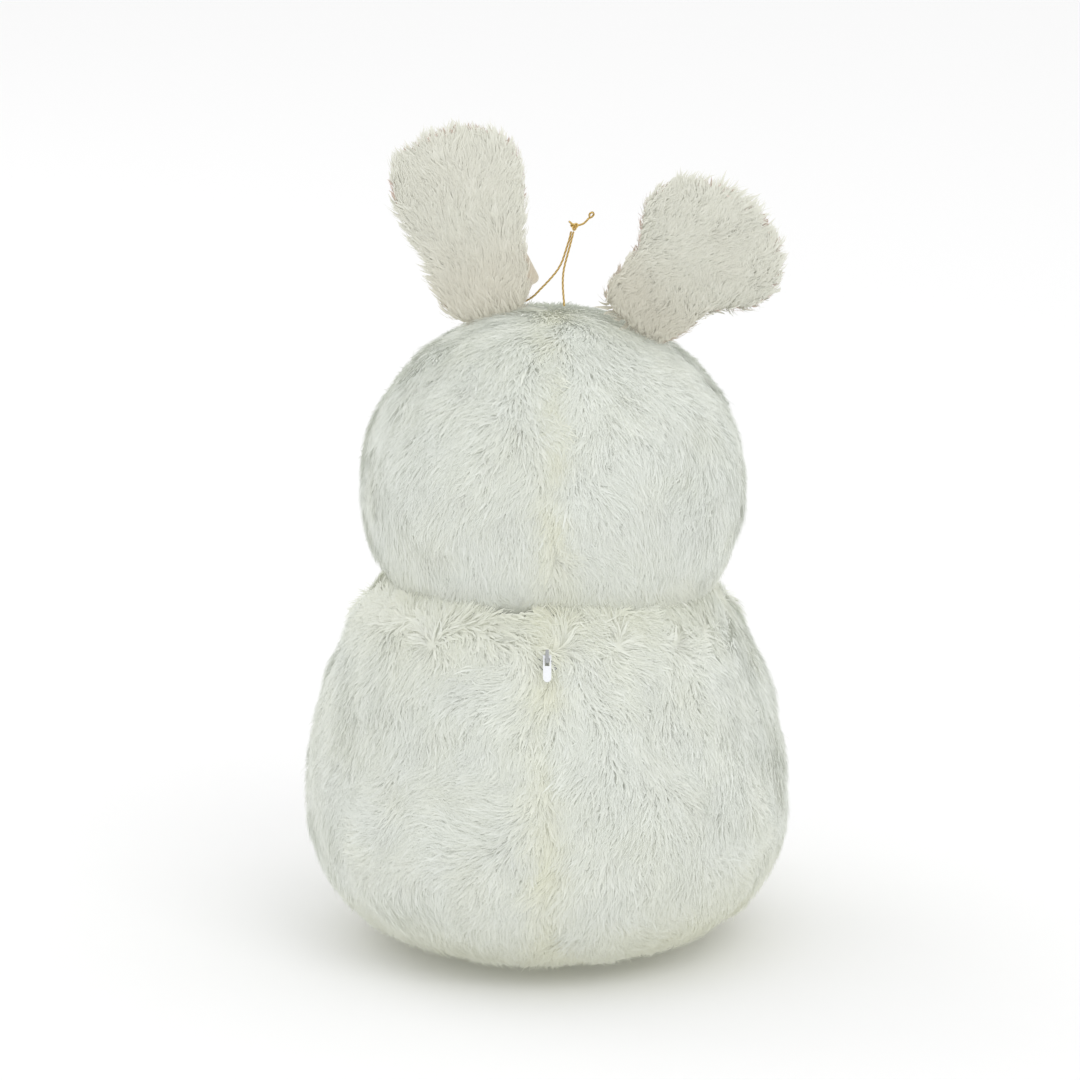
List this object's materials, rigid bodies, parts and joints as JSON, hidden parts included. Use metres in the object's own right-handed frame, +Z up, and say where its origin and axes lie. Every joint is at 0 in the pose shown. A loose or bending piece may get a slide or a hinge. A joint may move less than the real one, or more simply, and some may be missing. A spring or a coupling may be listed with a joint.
{
  "type": "stuffed bunny rabbit",
  "caption": "Sitting long-pile stuffed bunny with bending ears and arms, a back zip that slides, front feet and a swing tag on a fine cord.",
  "frame": {"origin": "centre of the flat seat under the body, on the floor", "axes": "+Z up; the face looks along -Y and the zip is at the back, towards +Y; +X is the bunny's own left"},
  "size_m": [0.232, 0.2774, 0.394],
  "materials": {
    "pile_fabric": "long ivory plush pile",
    "ear_lining": "short velour, warm white",
    "sole_velour": "short velour, warm white",
    "liner_cloth": "plain woven cotton",
    "polyester_fill": "loose polyester fibre",
    "zip_tape": "woven tape",
    "zip_nylon": "moulded nylon",
    "zip_metal": "grey lacquer",
    "zip_pull": "white lacquer",
    "eye": "polished",
    "nose": "satin",
    "washer": "moulded",
    "mouth_thread": "twisted embroidery thread",
    "gold_cord": "metallic thread over elastic",
    "eyelet": "polished",
    "card": "uncoated card, blank"
  },
  "bodies": {
    "root": {"body_back_left_panel": "pile_fabric", "body_back_right_panel": "pile_fabric", "body_front_panel": "pile_fabric", "base_panel": "pile_fabric", "inner_cushion": "liner_cloth", "bead_bag": "liner_cloth", "zip_tape_left": "zip_tape", "zip_tape_right": "zip_tape", "zip_coil_left": "zip_nylon", "zip_coil_right": "zip_nylon", "zip_top_stop": "zip_nylon", "zip_bottom_stop": "zip_nylon", "head_back_left_panel": "pile_fabric", "head_back_right_panel": "pile_fabric", "face_panel": "pile_fabric", "head_stuffing": "polyester_fill", "neck_lining": "liner_cloth", "eye_left": "eye", "eye_left_washer": "washer", "eye_right": "eye", "eye_right_washer": "washer", "nose": "nose", "nose_washer": "washer", "mouth_stitching": "mouth_thread", "foot_left_upper": "pile_fabric", "foot_left_sole": "sole_velour", "foot_left_stuffing": "polyester_fill", "foot_right_upper": "pile_fabric", "foot_right_sole": "sole_velour", "foot_right_stuffing": "polyester_fill", "cord_right_strand": "gold_cord", "cord_left_strand": "gold_cord", "cord_knot": "gold_cord"},
    "zip_slider": {"zip_slider": "zip_metal"},
    "zip_pull": {"zip_pull": "zip_pull"},
    "ear_left": {"ear_left_back": "pile_fabric", "ear_left_lining": "ear_lining", "ear_left_wadding": "polyester_fill"},
    "ear_right": {"ear_right_back": "pile_fabric", "ear_right_lining": "ear_lining", "ear_right_wadding": "polyester_fill"},
    "arm_left": {"arm_left_outer": "pile_fabric", "arm_left_inner": "pile_fabric", "arm_left_stuffing": "polyester_fill"},
    "arm_right": {"arm_right_outer": "pile_fabric", "arm_right_inner": "pile_fabric", "arm_right_stuffing": "polyester_fill"},
    "swing_tag": {"swing_tag": "card", "tag_eyelet": "eyelet"}
  },
  "joints": [
    {"name": "zip_slide", "type": "hinge", "parent": "root", "child": "zip_slider", "pos_m": [0, -0.04803, 0.066], "axis": [-1, 0, 0], "range_deg": [0, 38.5]},
    {"name": "zip_pull_swing", "type": "hinge", "parent": "zip_slider", "child": "zip_pull", "pos_m": [0, 0.10151, 0.16113], "axis": [1, 0, 0], "range_deg": [0, 160]},
    {"name": "ear_left_lean", "type": "hinge", "parent": "root", "child": "ear_left", "pos_m": [0.03203, 0.005, 0.32686], "axis": [0, 1, 0], "range_deg": [-8, 65], "stiffness_Nm_per_rad": 0.2},
    {"name": "ear_right_lean", "type": "hinge", "parent": "root", "child": "ear_right", "pos_m": [-0.05436, 0.02542, 0.31855], "axis": [0, -1, 0], "range_deg": [-32, 38], "stiffness_Nm_per_rad": 0.2},
    {"name": "arm_left_swing", "type": "hinge", "parent": "root", "child": "arm_left", "pos_m": [0.08158, -0.08749, 0.1352], "axis": [-1, 0, 0], "range_deg": [0, 95]},
    {"name": "arm_right_swing", "type": "hinge", "parent": "root", "child": "arm_right", "pos_m": [-0.08158, -0.08749, 0.1352], "axis": [-1, 0, 0], "range_deg": [0, 95]},
    {"name": "tag_swing", "type": "hinge", "parent": "root", "child": "swing_tag", "pos_m": [0.0185, -0.0076, 0.3145], "axis": [0.891, 0, -0.454], "range_deg": [0, 110]}
  ]
}
